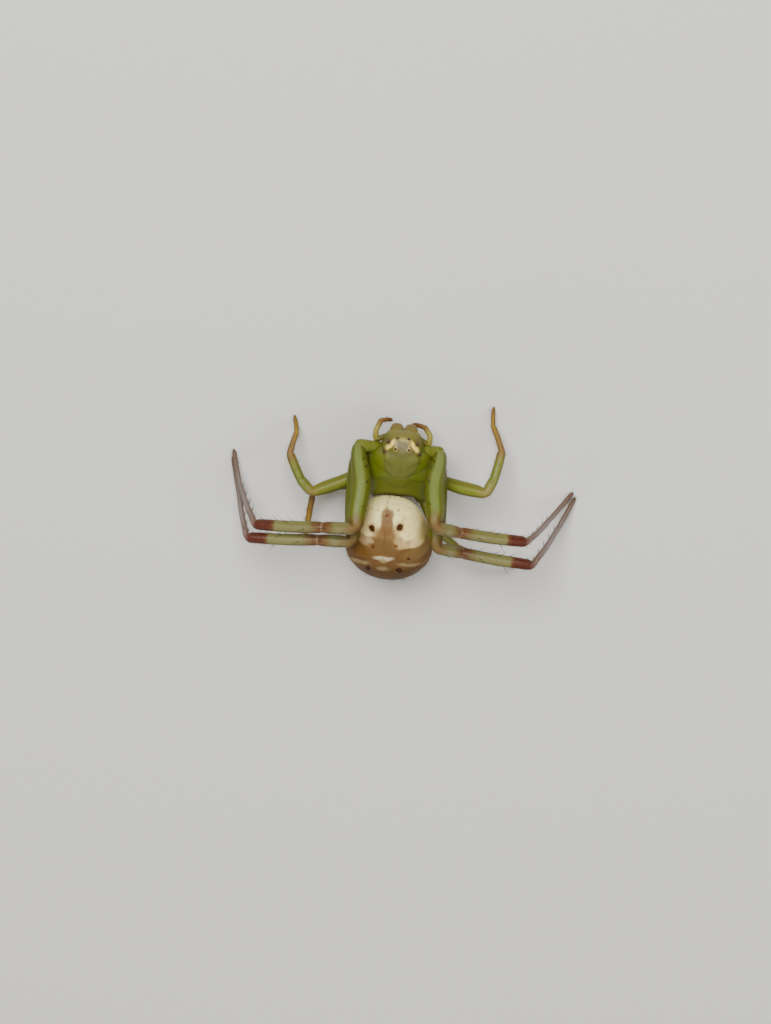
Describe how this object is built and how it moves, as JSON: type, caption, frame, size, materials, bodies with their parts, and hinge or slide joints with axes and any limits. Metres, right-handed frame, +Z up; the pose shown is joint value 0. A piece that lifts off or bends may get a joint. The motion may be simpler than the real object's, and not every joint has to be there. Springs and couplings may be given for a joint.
{
  "type": "crab spider",
  "caption": "Flower crab spider at rest, with an olive head end, a rounded cream and tan abdomen and long bent banded front legs, standing on the floor.",
  "frame": {"origin": "middle of the whole spider's box, on the floor that its feet stand on", "axes": "+Z is up, the head looks along -Y, and the spider's own left side is at +X"},
  "size_m": [0.0132, 0.0068, 0.0045],
  "materials": {
    "body_shell": "satin",
    "abdomen_skin": "satin",
    "eye_lens": "gloss",
    "jaw_shell": "satin",
    "feeler_skin": "satin",
    "leg_upper_skin": "satin",
    "leg_shin_skin": "satin",
    "leg_foot_skin": "satin",
    "spinneret_skin": "satin"
  },
  "bodies": {
    "root": {"eye_front_middle_left": "eye_lens", "eye_front_middle_right": "eye_lens", "eye_front_side_left": "eye_lens", "eye_front_side_right": "eye_lens", "eye_rear_middle_left": "eye_lens", "eye_rear_middle_right": "eye_lens", "eye_rear_side_left": "eye_lens", "eye_rear_side_right": "eye_lens", "carapace": "body_shell", "abdomen": "abdomen_skin", "spinnerets": "spinneret_skin", "jaw_left": "jaw_shell", "jaw_right": "jaw_shell", "feeler_left": "feeler_skin", "feeler_right": "feeler_skin", "leg_1_left_hip": "leg_upper_skin", "leg_1_left_thigh": "leg_upper_skin", "leg_1_left_shin": "leg_shin_skin", "leg_1_left_foot": "leg_foot_skin", "leg_2_left_hip": "leg_upper_skin", "leg_2_left_thigh": "leg_upper_skin", "leg_2_left_shin": "leg_shin_skin", "leg_2_left_foot": "leg_foot_skin", "leg_3_left_hip": "leg_upper_skin", "leg_3_left_thigh": "leg_upper_skin", "leg_3_left_shin": "leg_shin_skin", "leg_3_left_foot": "leg_foot_skin", "leg_4_left_hip": "leg_upper_skin", "leg_4_left_thigh": "leg_upper_skin", "leg_4_left_shin": "leg_shin_skin", "leg_4_left_foot": "leg_foot_skin", "leg_1_right_hip": "leg_upper_skin", "leg_1_right_thigh": "leg_upper_skin", "leg_1_right_shin": "leg_shin_skin", "leg_1_right_foot": "leg_foot_skin", "leg_2_right_hip": "leg_upper_skin", "leg_2_right_thigh": "leg_upper_skin", "leg_2_right_shin": "leg_shin_skin", "leg_2_right_foot": "leg_foot_skin", "leg_3_right_hip": "leg_upper_skin", "leg_3_right_thigh": "leg_upper_skin", "leg_3_right_shin": "leg_shin_skin", "leg_3_right_foot": "leg_foot_skin", "leg_4_right_hip": "leg_upper_skin", "leg_4_right_thigh": "leg_upper_skin", "leg_4_right_shin": "leg_shin_skin", "leg_4_right_foot": "leg_foot_skin"}
  },
  "joints": []
}
